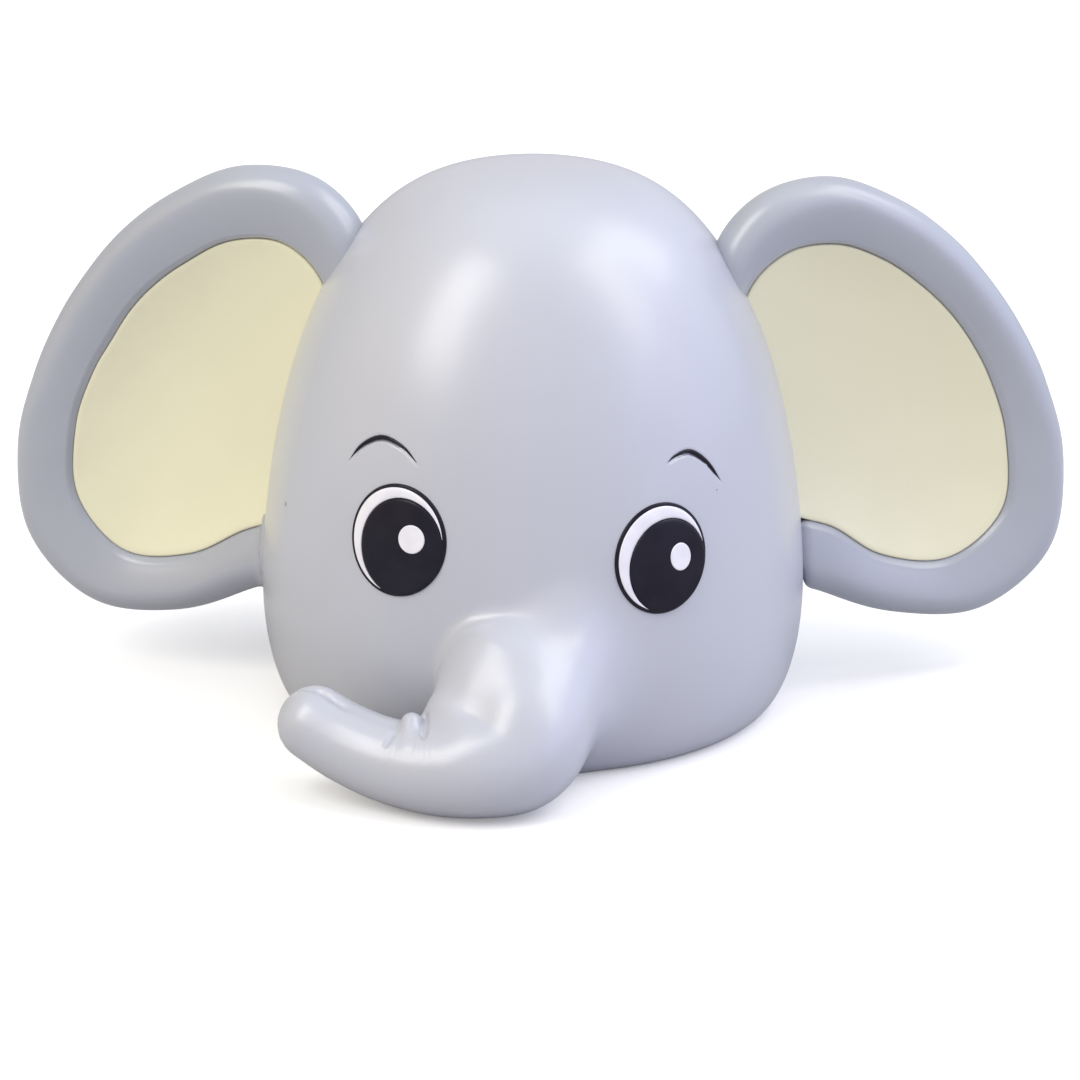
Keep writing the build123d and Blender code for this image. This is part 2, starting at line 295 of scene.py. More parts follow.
# %% [markdown]
# ## The head and trunk as a distance field
# On the real bank the head and the trunk are one skin: they run into each other softly on one side and meet
# in a crease on the other. Two meshes with a Boolean would leave a hard seam all round. A distance field
# says, for every point, how far it is from the surface, and two fields can be merged with any softness. The
# wall, the coin slot, the base opening and the small grooves are then more fields, added or taken away.

# %% The head's profile
WIDEST_HEIGHT = 24.0
HEAD_RADIUS = 54.06
BASE_RADIUS = 45.7
SIDE_POWER, CROWN_POWER = 2 / 2.942, 2 / 1.781
WALL = 3.0


def head_profile(inset, bottom):
    """Points (radius, height) from the middle of the flat base, round the jowl and up to the crown."""
    quarter = np.linspace(0.0, math.pi / 2, 140)
    jowl_radius = BASE_RADIUS - inset + (HEAD_RADIUS - BASE_RADIUS) * np.sin(quarter)
    jowl_height = WIDEST_HEIGHT - (WIDEST_HEIGHT - bottom) * np.cos(quarter)
    crown_radius = (HEAD_RADIUS - inset) * np.clip(np.cos(quarter), 0.0, 1.0) ** SIDE_POWER
    rise = HEAD_HEIGHT - WIDEST_HEIGHT - inset
    crown_height = WIDEST_HEIGHT + rise * np.sin(quarter) ** CROWN_POWER
    jowl = np.stack([jowl_radius, jowl_height], 1)
    crown = np.stack([crown_radius, crown_height], 1)
    return np.vstack([[(0.0, bottom)], jowl, crown[1:]])


class TurnedField:
    """Signed distance to a solid of revolution, looked up in a table of radius and height."""

    CELL = 0.25

    def __init__(self, profile):
        radii = np.arange(0.0, 72.0, self.CELL)
        heights = np.arange(-8.0, 124.0, self.CELL)
        self.low = heights[0]
        points = np.stack(np.meshgrid(radii, heights, indexing="ij"), -1).reshape(-1, 2)
        start, run = profile[:-1], np.diff(profile, axis=0)
        nearest = np.full(len(points), 1e9)
        outer = np.interp(points[:, 1], profile[:, 1], profile[:, 0])
        for first, step in zip(start, run):
            along = np.clip((points - first) @ step / (step @ step), 0.0, 1.0)
            gap = points - first - along[:, None] * step
            nearest = np.minimum(nearest, (gap * gap).sum(1))
        inside = (points[:, 1] > profile[0, 1]) & (points[:, 1] < profile[-1, 1]) & (points[:, 0] < outer)
        self.table = (np.sqrt(nearest) * np.where(inside, -1.0, 1.0)).reshape(len(radii), len(heights))

    def __call__(self, points):
        radius = np.hypot(points[:, 0], points[:, 1]) / self.CELL
        height = (points[:, 2] - self.low) / self.CELL
        column = np.clip(radius.astype(int), 0, self.table.shape[0] - 2)
        row = np.clip(height.astype(int), 0, self.table.shape[1] - 2)
        across, up = radius - column, height - row
        low = self.table[column, row] * (1 - across) + self.table[column + 1, row] * across
        high = self.table[column, row + 1] * (1 - across) + self.table[column + 1, row + 1] * across
        return low * (1 - up) + high * up


head_skin = TurnedField(head_profile(0.0, 0.0))
BASE_RECESS = 2.0
head_hollow = TurnedField(head_profile(WALL, BASE_RECESS + WALL))
print("head field at the crown", round(float(head_skin(np.array([[0.0, 0.0, HEAD_HEIGHT]]))[0]), 4))

# %% [markdown]
# ## The trunk
# The trunk leaves the face, drops to the table and curls to the animal's right. It could be a curve with a
# bevel, but then it couldn't melt into the head. So it is a field too: a tube whose thickness changes
# follows a smooth line through nine places, each with its own radius.

# %% The trunk's line and thickness
TRUNK = np.array(
    [  # x, y, z and radius, with the head's own axis as x = y = 0
        (0.5, -40.0, 22.0, 16.3),
        (0.5, -50.5, 19.6, 14.8),
        (1.0, -60.0, 15.3, 12.9),
        (-1.0, -65.4, 11.4, 11.0),
        (-8.0, -67.7, 9.7, 9.6),
        (-16.5, -66.4, 8.7, 8.6),
        (-25.0, -63.2, 9.1, 7.9),
        (-32.6, -60.0, 11.1, 7.5),
        (-38.8, -57.3, 13.9, 7.2),
    ]
)


def smooth_line(points, steps):
    """A Catmull-Rom line through the points, with steps pieces between each two."""
    ends = np.vstack([2 * points[0] - points[1], points, 2 * points[-1] - points[-2]])
    t = np.linspace(0.0, 1.0, steps, endpoint=False)[:, None]
    pieces = []
    for a, b, c, d in zip(ends, ends[1:], ends[2:], ends[3:]):
        curve = 2 * b + (c - a) * t + (2 * a - 5 * b + 4 * c - d) * t**2 + (3 * b - a - 3 * c + d) * t**3
        pieces.append(curve / 2)
    return np.vstack([*pieces, points[-1:]])


LINE_STEPS = 8
SOLID_TIP = 12  # how many steps at the end of the line stay solid
trunk_line = smooth_line(TRUNK, LINE_STEPS)


def tube(points, line, inset=0.0):
    """Distance to a tube of changing thickness along the line."""
    nearest = np.full(len(points), 1e9)
    for start, end in zip(line, line[1:]):
        run = end[:3] - start[:3]
        along = np.clip((points - start[:3]) @ run / (run @ run), 0.0, 1.0)
        gap = points - start[:3] - along[:, None] * run
        radius = start[3] + along * (end[3] - start[3]) - inset
        nearest = np.minimum(nearest, np.sqrt((gap * gap).sum(1)) - radius)
    return nearest


def soft_union(first, second, softness):
    """The lower of two fields, with the crease between them rounded."""
    overlap = np.maximum(softness - np.abs(first - second), 0.0) / softness
    return np.minimum(first, second) - overlap * overlap * softness / 4


def soft_cut(body, tool, softness):
    return -soft_union(-body, tool, softness)


def fade(value, low, high):
    """0 below low, 1 above high, smooth between."""
    t = np.clip((value - low) / (high - low), 0.0, 1.0)
    return t * t * (3 - 2 * t)


# %% The trunk's small forms: the heel that fills out the bend, the knuckle and its notches, the nostril
HEEL = np.array([(-6.0, -53.5, 21.5, 10.3), (-11.6, -61.0, 17.2, 6.4), (-11.0, -61.5, 15.0, 6.6)])
KNUCKLE = np.array([(-20.2, -64.6, 16.9, 2.1), (-20.5, -69.6, 13.2, 2.0)])
NOTCHES = (
    np.array([(-22.7, -64.0, 18.0, 0.8), (-23.2, -67.4, 16.9, 0.85), (-24.8, -69.5, 14.6, 0.3)]),
    np.array([(-18.0, -64.5, 18.3, 0.9), (-17.9, -68.4, 17.2, 0.9), (-17.3, -70.9, 14.9, 0.3)]),
)
NOSTRIL = np.array([(-41.0, -56.3, 21.4, 1.1), (-37.6, -57.9, 20.7, 1.0), (-32.4, -61.5, 18.3, 0.4)])


def trunk_field(points):
    softness = 4.0 + 2.5 * fade(points[:, 0], -17.0, -9.0)
    body = soft_union(tube(points, trunk_line), tube(points, HEEL), softness)
    for notch in NOTCHES:
        body = soft_cut(body, tube(points, notch), 0.7)
    body = soft_union(body, tube(points, KNUCKLE), 0.6)
    return soft_cut(body, tube(points, NOSTRIL), 0.9)


# %% Head, wall, slot and openings in one field
SLOT_LENGTH, SLOT_HEIGHT, SLOT_Z = 38.0, 5.0, 84.0
OPENING_RADIUS = 23.0
RECESS_RADIUS = 31.0
UNDER_BASE, OVER_FLOOR = -9.0, 9.0
MARGIN = 24.0
TRUNK_REACH = (TRUNK[:, :3].min(0) - MARGIN, TRUNK[:, :3].max(0) + MARGIN)


def rounded_box(points, centre, half, radius):
    gap = np.abs(points - centre) - half + radius
    outside = np.linalg.norm(np.maximum(gap, 0.0), axis=1)
    return outside + np.minimum(gap.max(1), 0.0) - radius


def disc(points, radius, low, high):
    across = np.hypot(points[:, 0], points[:, 1]) - radius
    along = np.abs(points[:, 2] - (low + high) / 2) - (high - low) / 2
    return np.maximum(across, along)


def outer_skin(points):
    """The outside of the head and trunk: soft on the animal's left of the trunk, creased on its right."""
    skin = head_skin(points)
    near = np.all((points > TRUNK_REACH[0]) & (points < TRUNK_REACH[1]), axis=1)
    if near.any():
        close = points[near]
        softness = 2.2 + 8.0 * fade(close[:, 0], -4.0, 12.0)
        skin[near] = soft_union(skin[near], trunk_field(close), softness)
    return skin


def moulding(points):
    """The whole hollow moulding."""
    body = outer_skin(points)
    hollow = head_hollow(points)
    near = np.all((points > TRUNK_REACH[0]) & (points < TRUNK_REACH[1]), axis=1)
    if near.any():
        hollow[near] = soft_union(hollow[near], tube(points[near], trunk_line[:-SOLID_TIP], WALL), 3.0)
    body = np.maximum(body, -hollow)
    slot = rounded_box(
        points,
        np.array([0.0, HEAD_RADIUS, SLOT_Z]),
        np.array([SLOT_LENGTH / 2, HEAD_RADIUS / 2, SLOT_HEIGHT / 2]),
        2.0,
    )
    body = soft_cut(body, slot, 1.2)
    body = soft_cut(body, disc(points, RECESS_RADIUS, UNDER_BASE, BASE_RECESS), 0.8)
    return soft_cut(body, disc(points, OPENING_RADIUS, UNDER_BASE, OVER_FLOOR), 0.6)


# %% [markdown]
# ## From field to mesh
# The field is sampled on a grid of about a millimetre, and the volume library draws its zero surface as
# quads. Each corner is then moved along the field's own slope until it lies on the exact surface, so the
# grid leaves no trace. Where the form is small, as at the notches, the faces are split first.

# %% Drawing a field's surface
def slope(field, points, step=0.02):
    columns = [field(points + offset) - field(points - offset) for offset in np.eye(3) * step]
    return np.stack(columns, 1) / (2 * step)


def settle(field, points, rounds=3, level=0.0):
    """Moves points along the slope until the field is level."""
    for _ in range(rounds):
        rise = slope(field, points)
        steep = np.maximum((rise * rise).sum(1), 0.25)
        points = points - ((field(points) - level) / steep)[:, None] * rise
    return points


def field_surface(field, low, high, pitch):
    """Quads on the field's zero surface."""
    axes = [np.arange(a, b, pitch) for a, b in zip(low, high)]
    shape = tuple(len(axis) for axis in axes)
    values = np.empty(shape, np.float32)
    for row, x in enumerate(axes[0]):
        sheet = np.stack(np.meshgrid([x], axes[1], axes[2], indexing="ij"), -1).reshape(-1, 3)
        values[row] = field(sheet).reshape(shape[1:])
    reach = 3 * pitch
    grid = openvdb.FloatGrid(reach)
    grid.copyFromArray(np.clip(values, -reach, reach))
    corners, quads = grid.convertToQuads(isovalue=0.0)
    return corners * pitch + np.array([axis[0] for axis in axes]), quads


HEAD_AXIS = np.array([0.0, HEAD_BACK, 0.0])


def to_frame(points):
    """Millimetres about the head's own axis, as metres in the frame."""
    return (np.asarray(points, float) + HEAD_AXIS) * MM


def from_frame(points):
    return np.asarray(points, float) / MM - HEAD_AXIS


def shade_smooth(mesh):
    mesh.polygons.foreach_set("use_smooth", [True] * len(mesh.polygons))


def mesh_object(name, points, faces, material):
    """A mesh object at the origin, from points in millimetres about the head's own axis."""
    mesh = bpy.data.meshes.new(name)
    mesh.from_pydata(to_frame(points).tolist(), [], [list(map(int, face)) for face in faces])
    mesh.validate()
    mesh.materials.append(material)
    shade_smooth(mesh)
    return new_object(name, mesh)


def face_outwards(made):
    """Recalculates the normals of a closed mesh."""
    work = bmesh.new()
    work.from_mesh(made.data)
    bmesh.ops.remove_doubles(work, verts=work.verts, dist=1e-7)
    bmesh.ops.recalc_face_normals(work, faces=work.faces)
    work.to_mesh(made.data)
    work.free()


# %% [markdown]
# ## Grey vinyl
# Rotationally moulded vinyl is satin: the mould's fine texture breaks up the light, the colour drifts a
# little where the skin is thicker, and a few dark specks of burnt compound are left in it. Noise at several
# sizes gives those three things, and the bump is only two hundredths of a millimetre deep.

# %% The vinyl finishes
def vinyl(name, dark, light, speck, roughness):
    finish = Finish(name, ior=1.5, coat_weight=0.8, coat_roughness=0.3)
    drift = finish.noise(0.045, detail=3.0).ramp(0.35, 0.65)
    specks = finish.noise(0.0022, detail=0.0).ramp(0.925, 0.94)
    tone = finish.blend(drift, dark, light)
    finish.feed(
        Base_Color=finish.blend(specks, tone, speck),
        Roughness=roughness + 0.07 * finish.noise(0.016, detail=3.0) + 0.05 * finish.noise(0.0011),
    )
    grain = 0.75 * finish.noise(0.0011, detail=1.0) + 0.25 * finish.noise(0.0034)
    finish.relief(grain, 0.00002)
    return finish.material


grey_vinyl = vinyl("grey_vinyl", (0.484, 0.498, 0.566), (0.508, 0.522, 0.592), (0.2, 0.2, 0.22), 0.27)
# The ears' vinyl is darker than the head's: partly a darker shade of compound in the separate ear moulding,
# partly painted shade for the lesser light that reaches the ears.
ear_vinyl = vinyl("ear_vinyl", (0.385, 0.405, 0.468), (0.405, 0.425, 0.488), (0.18, 0.18, 0.2), 0.27)
cream_vinyl = vinyl("cream_vinyl", (0.80, 0.77, 0.555), (0.83, 0.80, 0.58), (0.6, 0.55, 0.4), 0.34)


# %% [markdown]
# ## Places on the skin
# Eyes and brows are laid out flat, as a maker would draw them, on a plane that touches the head. Each point
# is then carried straight in until it meets the skin, so the drawing bends round the head as paint does.

# %% A flat drawing laid on the skin
class SkinPatch:
    """A plane that touches the head's skin, for drawing on."""

    def __init__(self, azimuth, height):
        turn = math.radians(azimuth)
        outward = np.array([math.sin(turn), -math.cos(turn), 0.0])
        self.origin = settle(head_skin, (outward * HEAD_RADIUS + (0, 0, height))[None], rounds=8)[0]
        rise = slope(head_skin, self.origin[None])[0]
        self.out = rise / np.linalg.norm(rise)
        self.across = np.array([math.cos(turn), math.sin(turn), 0.0])
        self.up = np.cross(self.out, self.across)

    def lay(self, drawn, lift=0.0):
        """Carries drawn points (across, up) on to the skin, and lifts them off it."""
        drawn = np.atleast_2d(drawn)
        points = self.origin + drawn[:, :1] * self.across + drawn[:, 1:2] * self.up
        for _ in range(6):
            points = points - head_skin(points)[:, None] * self.out
        normal = slope(head_skin, points)
        normal /= np.linalg.norm(normal, axis=1)[:, None]
        return points + np.asarray(lift)[..., None] * normal


BROW_PLACES = {"right": (-34.3, 65.1), "left": (38.8, 62.1)}
BROW_STROKES = {
    "right": ((-7.0, -4.2), (-4.1, -0.7), (0.4, 1.5), (5.3, 0.5), (9.0, -2.1)),
    "left": ((-5.3, 0.1), (-3.0, 1.2), (0.4, 1.4), (4.1, -1.3), (7.3, -5.8)),
}
BROW_HALF_WIDTH = 0.4


def brow_line(side, shift=(0.0, 0.0), sink=0.0, width=1.0):
    """The stroke's middle line on the skin, with a radius that swells and tapers."""
    drawn = smooth_line(np.array(BROW_STROKES[side]), LINE_STEPS) + shift
    swell = np.sin(np.linspace(0.03, 0.97, len(drawn)) * math.pi) ** 0.8
    line = SkinPatch(*BROW_PLACES[side]).lay(drawn, -sink)
    return np.hstack([line, (BROW_HALF_WIDTH * width * swell)[:, None]])


brow_grooves = [brow_line(side, shift=(0.0, -0.22), sink=0.05, width=1.25) for side in BROW_PLACES]
print("brow strokes", [len(line) for line in brow_grooves], "points")


# %% The head's mesh
def head_with_grooves(points):
    body = moulding(points)
    for line in brow_grooves:
        middle = line[len(line) // 2, :3]
        near = np.linalg.norm(points - middle, axis=1) < 14.0
        if near.any():
            body[near] = soft_cut(body[near], tube(points[near], line), 0.3)
    return body


def split_near(made, places, rounds=1):
    """Splits the faces within reach of the places (centre, reach), in the head's millimetres."""
    work = bmesh.new()
    work.from_mesh(made.data)
    for _ in range(rounds):
        edges = set()
        for face in work.faces:
            middle = from_frame(face.calc_center_median())
            if any(np.linalg.norm(middle - centre) < reach for centre, reach in places):
                edges.update(face.edges)
        bmesh.ops.subdivide_edges(work, edges=list(edges), cuts=1, use_grid_fill=True)
    bmesh.ops.triangulate(work, faces=[face for face in work.faces if len(face.verts) > 4])
    work.to_mesh(made.data)
    work.free()


def settle_mesh(made, field):
    """Lays every corner of the mesh on the field's surface."""
    corners = np.empty(len(made.data.vertices) * 3)
    made.data.vertices.foreach_get("co", corners)
    points = settle(field, from_frame(corners.reshape(-1, 3)))
    made.data.vertices.foreach_set("co", to_frame(points).ravel())
    made.data.update()


def make_head():
    pitch = 1.15
    low = np.array([shell_low.x, shell_low.y - HEAD_BACK * MM, shell_low.z]) / MM - 3.0
    high = np.array([shell_high.x, shell_high.y - HEAD_BACK * MM, shell_high.z]) / MM + 3.0
    points, quads = field_surface(head_with_grooves, low, high, pitch)
    head = mesh_object("head_moulding", points, quads, grey_vinyl)
    places = [(line[index, :3], 2.4) for line in brow_grooves for index in range(0, len(line), 3)]
    split_near(head, places, rounds=2)
    split_near(head, [(place[:3], 3.2) for notch in NOTCHES for place in notch], rounds=2)
    split_near(head, [(place[:3], 3.5) for place in NOSTRIL])
    settle_mesh(head, head_with_grooves)
    shade_smooth(head.data)
    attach(head, "head")
    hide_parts("head_shell")
    return head


head = make_head()
print("head faces", len(head.data.polygons))

# %% [markdown]
# ## The ears
# Each ear is its own moulding: a thick plate with a fat rounded rim, a pocket for the cream insert and a
# root that plugs into the head. The section across the rim is the same all the way round, so the mesh is
# that section carried round the outline: rings of points that run from the back, over the rim, down the
# lip and across the pocket's floor. Where a ring would go inside the head it is laid just under the skin.

# %% Outlines of the ear and its insert
EAR_ROOT = np.array([50.0, 4.0, 0.0])
EAR_SWEEP = math.radians(20.0)
EAR_MIDDLE = np.array([21.0, 58.0])
EAR_OUTLINES = {
    "right": [  # along the ear and up
        (8.6, 18.7), (24.3, 12.6), (43.4, 12.4), (57.7, 25.0), (59.8, 44.1),
        (55.4, 60.0), (49.5, 72.2), (42.6, 82.3), (34.3, 91.6), (23.0, 100.0),
        (7.7, 106.6), (-9.8, 104.4), (-19.6, 89.3), (-15.1, 55.0), (-6.4, 27.5),
    ],
    "left": [  # along the ear and up
        (8.9, 19.6), (24.2, 13.9), (43.2, 12.9), (58.3, 24.5), (60.5, 43.8),
        (56.1, 60.0), (49.9, 72.4), (42.8, 82.5), (34.3, 91.7), (23.0, 99.8),
        (8.0, 105.3), (-7.8, 101.4), (-16.6, 86.9), (-15.0, 55.0), (-6.0, 28.0),
    ],
}
PANEL_OUTLINES = {
    "right": [  # along the ear and up
        (9.1, 31.5), (20.8, 25.4), (35.8, 24.4), (46.0, 35.0), (45.8, 49.9),
        (41.7, 61.0), (36.9, 68.8), (32.4, 75.4), (26.8, 81.2), (19.7, 86.4),
        (9.5, 91.8), (-2.9, 91.9), (-11.5, 81.6), (-11.0, 58.0), (-3.7, 38.5),
    ],
    "left": [  # along the ear and up
        (10.1, 33.7), (20.8, 26.8), (35.7, 24.8), (47.0, 34.1), (47.1, 49.4),
        (43.4, 61.3), (38.7, 70.0), (33.4, 76.9), (27.2, 82.7), (19.6, 88.1),
        (9.4, 92.1), (-2.1, 90.7), (-10.3, 80.8), (-11.0, 58.0), (-2.2, 39.7),
    ],
}
AROUND = 360
bearings = np.linspace(0.0, 2 * math.pi, AROUND, endpoint=False)


def reach_of(outline):
    """How far the closed outline lies from the ear's middle, at each bearing."""
    steps = 24
    wrapped = np.array([*outline[-3:], *outline, *outline[:3]])
    line = smooth_line(wrapped, steps)[2 * steps : (len(outline) + 4) * steps] - EAR_MIDDLE
    angle = np.unwrap(np.arctan2(line[:, 1], line[:, 0]))
    reach = np.hypot(line[:, 0], line[:, 1])
    order = np.argsort(angle)
    fine = np.linspace(0.0, 2 * math.pi, 1440, endpoint=False)
    first = angle[order][0]
    sampled = np.interp(first + (fine - first) % (2 * math.pi), angle[order], reach[order])
    side = 24
    spread = np.exp(-0.5 * (np.arange(-side, side + 1) / 9.0) ** 2)
    padded = np.concatenate([sampled[-side:], sampled, sampled[:side]])
    smooth = np.convolve(padded, spread / spread.sum(), "valid")
    return np.interp(bearings, fine, smooth, period=2 * math.pi)


rim_reach = {side_name: reach_of(outline) for side_name, outline in EAR_OUTLINES.items()}
panel_reach = {side_name: reach_of(outline) for side_name, outline in PANEL_OUTLINES.items()}
for side_name in rim_reach:
    narrowest = (rim_reach[side_name] - panel_reach[side_name]).min()
    print(side_name, "rim is", round(float(narrowest), 1), "mm wide at its narrowest")


# %% Rings round the ear
def ear_axes(side):
    """The ear's root point, its direction away from the head and its direction to the front."""
    along = np.array([side * math.cos(EAR_SWEEP), math.sin(EAR_SWEEP), 0.0])
    front = np.array([side * math.sin(EAR_SWEEP), -math.cos(EAR_SWEEP), 0.0])
    return EAR_ROOT * (side, 1, 1), along, front


def ear_rings(side, rings):
    """Points for rings, each a distance from the middle at each bearing and a height in front of it."""
    root, along, front = ear_axes(side)
    points = []
    for reach, height in rings:
        u = EAR_MIDDLE[0] + reach * np.cos(bearings)
        v = EAR_MIDDLE[1] + reach * np.sin(bearings)
        points.append(root + u[:, None] * along + v[:, None] * (0, 0, 1) + height * front)
    return np.array(points)


def ring_faces(points, first=0):
    """Quads between neighbouring rings and a fan to the hub at each end, from corner number first."""
    ring_count, around = points.shape[:2]
    steps = [(step, (step + 1) % around) for step in range(around)]
    last = first + (ring_count - 1) * around
    hub = last + around
    faces = []
    for low in range(first, last, around):
        high = low + around
        faces.extend((low + step, low + after, high + after, high + step) for step, after in steps)
    for step, after in steps:
        faces.append((hub, first + after, first + step))
        faces.append((hub + 1, last + step, last + after))
    return faces


def hubs(points):
    return np.vstack([points.reshape(-1, 3), points[0].mean(0), points[-1].mean(0)])


def under_skin(points, depth):
    """Points deeper in the head than depth are laid at that depth."""
    deep = head_skin(points) < -depth
    points[deep] = settle(head_skin, points[deep], rounds=6, level=-depth)
    return points


EAR_SINK, INSERT_SINK = 1.2, 0.9
RIM_HALF = 5.5
RIM_TURN = 5.0
LIP_TOP, LIP_FOOT, LIP_WIDTH = 3.6, 2.0, 1.5
POCKET_FLOOR = -2.6


def ear_section(rim, panel):
    """The section from the middle of the back, over the rim, to the middle of the pocket."""
    width = rim - panel
    rings = [(rim * share, -RIM_HALF + 0.9 * (1 - share) ** 0.5) for share in (0.12, 0.3, 0.5, 0.65, 0.78)]
    for turn in np.linspace(-90, 90, 21):
        inset = RIM_TURN * (1 - math.cos(math.radians(turn)))
        rings.append((rim - inset, RIM_HALF * math.sin(math.radians(turn))))
    for share in np.linspace(0.12, 1.0, 8):
        inset = RIM_TURN + share * (width - RIM_TURN - LIP_WIDTH)
        rings.append((rim - inset, RIM_HALF - (RIM_HALF - LIP_TOP) * share**1.5))
    for share in np.linspace(0.15, 1.0, 6):
        inset = width - LIP_WIDTH * (1 - share)
        rings.append((rim - inset, LIP_TOP - (LIP_TOP - LIP_FOOT) * share**1.6))
    rings.append((panel - 0.05, LIP_FOOT - 1.0))
    rings.append((panel - 0.1, POCKET_FLOOR + 0.2))
    rings.extend((panel * share, POCKET_FLOOR) for share in (0.97, 0.8, 0.55, 0.3, 0.1))
    return rings


NECK_STEPS = 32
NECK_MIDDLE = (58.0, -3.7)  # height, and distance in front of the ear's middle plane


def neck_points(side):
    """A rounded tongue that goes through the head's wall from the ear's root."""
    root, along, front = ear_axes(side)
    turn = np.linspace(0, 2 * math.pi, NECK_STEPS, endpoint=False)
    rise = 12.0 * np.sign(np.sin(turn)) * np.abs(np.sin(turn)) ** 0.5 + 2.0 * np.sin(turn)
    loops = []
    for u, size in ((-11.0, 0.0), (-11.0, 0.85), (-10.4, 1.0), (0.0, 1.0), (4.0, 1.0), (4.2, 0.0)):
        v = NECK_MIDDLE[0] + size * rise
        n = NECK_MIDDLE[1] + size * np.cos(turn)
        loops.append(root + u * along + v[:, None] * (0, 0, 1) + n[:, None] * front)
    return np.array(loops)


def root_flare(points, reach=2.2):
    """Moves points near the head outwards at the ear's lower root, as a small fillet."""
    gap = head_skin(points.reshape(-1, 3)).reshape(points.shape[:2])
    close = np.clip(reach - gap, 0.0, reach)
    swell = (reach - np.sqrt(reach * reach - close * close)) * (1 - fade(points[..., 2], 30.0, 62.0))
    around = np.roll(points, -1, axis=1) - np.roll(points, 1, axis=1)
    across = np.gradient(points, axis=0)
    normal = np.cross(across, around)
    normal /= np.maximum(np.linalg.norm(normal, axis=2), 1e-9)[..., None]
    return points + swell[..., None] * normal


def make_ear(side_name, side):
    points = ear_rings(side, ear_section(rim_reach[side_name], panel_reach[side_name]))
    body = under_skin(hubs(root_flare(points)), EAR_SINK)
    neck = neck_points(side)
    neck_faces = []
    for ring in range(len(neck) - 1):
        start = len(body) + ring * NECK_STEPS
        end = start + NECK_STEPS
        for step in range(NECK_STEPS):
            after = (step + 1) % NECK_STEPS
            neck_faces.append((start + step, start + after, end + after, end + step))
    faces = ring_faces(points) + neck_faces
    ear = mesh_object(side_name + "_ear_moulding", np.vstack([body, neck.reshape(-1, 3)]), faces, ear_vinyl)
    face_outwards(ear)
    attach(ear, "head")
    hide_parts(side_name + "_ear")
    return ear


SIDES = {"right": -1, "left": 1}
for side_name, side in SIDES.items():
    ear = make_ear(side_name, side)
    print(ear.name, len(ear.data.polygons), "faces")

# %% [markdown]
# ## The cream inserts
# Each insert is a thin tray with a rolled edge. It lies in the ear's pocket with a hair of a gap round it,
# and its face is dished, which is why it looks darker on the side that faces away from the light.

# %% The insert's rings
PANEL_GAP = 0.05
BEAD_TOP, BEAD_ROUND, DISH_DEPTH = 2.45, 0.45, 4.3


def panel_section(panel):
    edge = panel - PANEL_GAP
    rings = [(edge * share, POCKET_FLOOR + 0.1) for share in (0.2, 0.6, 0.96)]
    rings.append((edge, POCKET_FLOOR + 0.5))
    rings.append((edge, 1.0))
    for turn in np.linspace(0, math.pi / 2, 7):
        rings.append(
            (edge - BEAD_ROUND * (1 - math.cos(turn)), BEAD_TOP - BEAD_ROUND * (1 - math.sin(turn)))
        )
    for share in np.linspace(0.03, 0.96, 26):
        dip = DISH_DEPTH * (1 - (1 - share) ** 2.2)
        rings.append(((edge - BEAD_ROUND) * (1 - share), BEAD_TOP - dip))
    return rings


def make_panel(side_name, side):
    points = ear_rings(side, panel_section(panel_reach[side_name]))
    corners = under_skin(hubs(points), INSERT_SINK)
    panel = mesh_object(side_name + "_ear_insert", corners, ring_faces(points), cream_vinyl)
    face_outwards(panel)
    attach(panel, "head")
    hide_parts(side_name + "_ear_panel")
    return panel


for side_name, side in SIDES.items():
    print(make_panel(side_name, side).name)


# %% [markdown]
# ## Enamels
# The eyes and brows are pad-printed in a hard gloss enamel. It is thicker and shinier than the vinyl, it
# levels out almost flat, and its black has a little violet in it.

# %% The enamel finishes
def drifting(finish, size, dark, light, roughness, grain):
    """Colour that drifts: roughness is least, range and size, and grain is size, depth and detail."""
    drift = finish.noise(size).ramp(0.3, 0.7)
    least, spread, rough_size = roughness
    finish.feed(
        Base_Color=finish.blend(drift, dark, light), Roughness=least + spread * finish.noise(rough_size)
    )
    grain_size, depth, detail = grain
    finish.relief(finish.noise(grain_size, detail=detail), depth)
    return finish.material


enamel_black = drifting(
    Finish("black_enamel", ior=1.4, specular_ior_level=0.25, coat_weight=0.06, coat_roughness=0.12),
    0.006,
    (0.0085, 0.0075, 0.0165),
    (0.013, 0.0115, 0.022),
    roughness=(0.26, 0.1, 0.004),
    grain=(0.0015, 0.000012, 2.0),
)
enamel_white = drifting(
    Finish("white_enamel", ior=1.5, coat_weight=0.2, coat_roughness=0.15),
    0.003,
    (0.78, 0.77, 0.85),
    (0.84, 0.83, 0.90),
    roughness=(0.3, 0.08, 0.004),
    grain=(0.0015, 0.000008, 2.0),
)

# %% [markdown]
# ## The eyes
# Each eye is a black oval with a white crescent and a glint. Its layers are real: the black is a raised
# disc with a rounded edge, the iris stands a little higher with a bevel round it, and the white lies
# between the two. Both eyes are printed the same way round, so neither is a mirror of the other.

# %% Eye sizes
EYE_PLACES = {"right": (-27.3, 47.1), "left": (29.6, 43.8)}
EYE_RADII = {"right": (10.35, 10.8), "left": (9.75, 10.7)}
EYE_TILT = {"right": math.radians(-4.0), "left": math.radians(-12.0)}
EYE_RIM = 0.75
IRIS_SHIFT = {"right": (1.05, -1.15), "left": (1.2, -1.6)}
IRIS_RADII = {"right": (8.75, 9.35), "left": (8.2, 9.1)}
GLINT_SHIFT = {"right": (3.45, 0.75), "left": (3.6, -0.1)}
GLINT_RADII = {"right": (2.75, 2.75), "left": (2.25, 2.7)}
OVAL_STEPS = 96


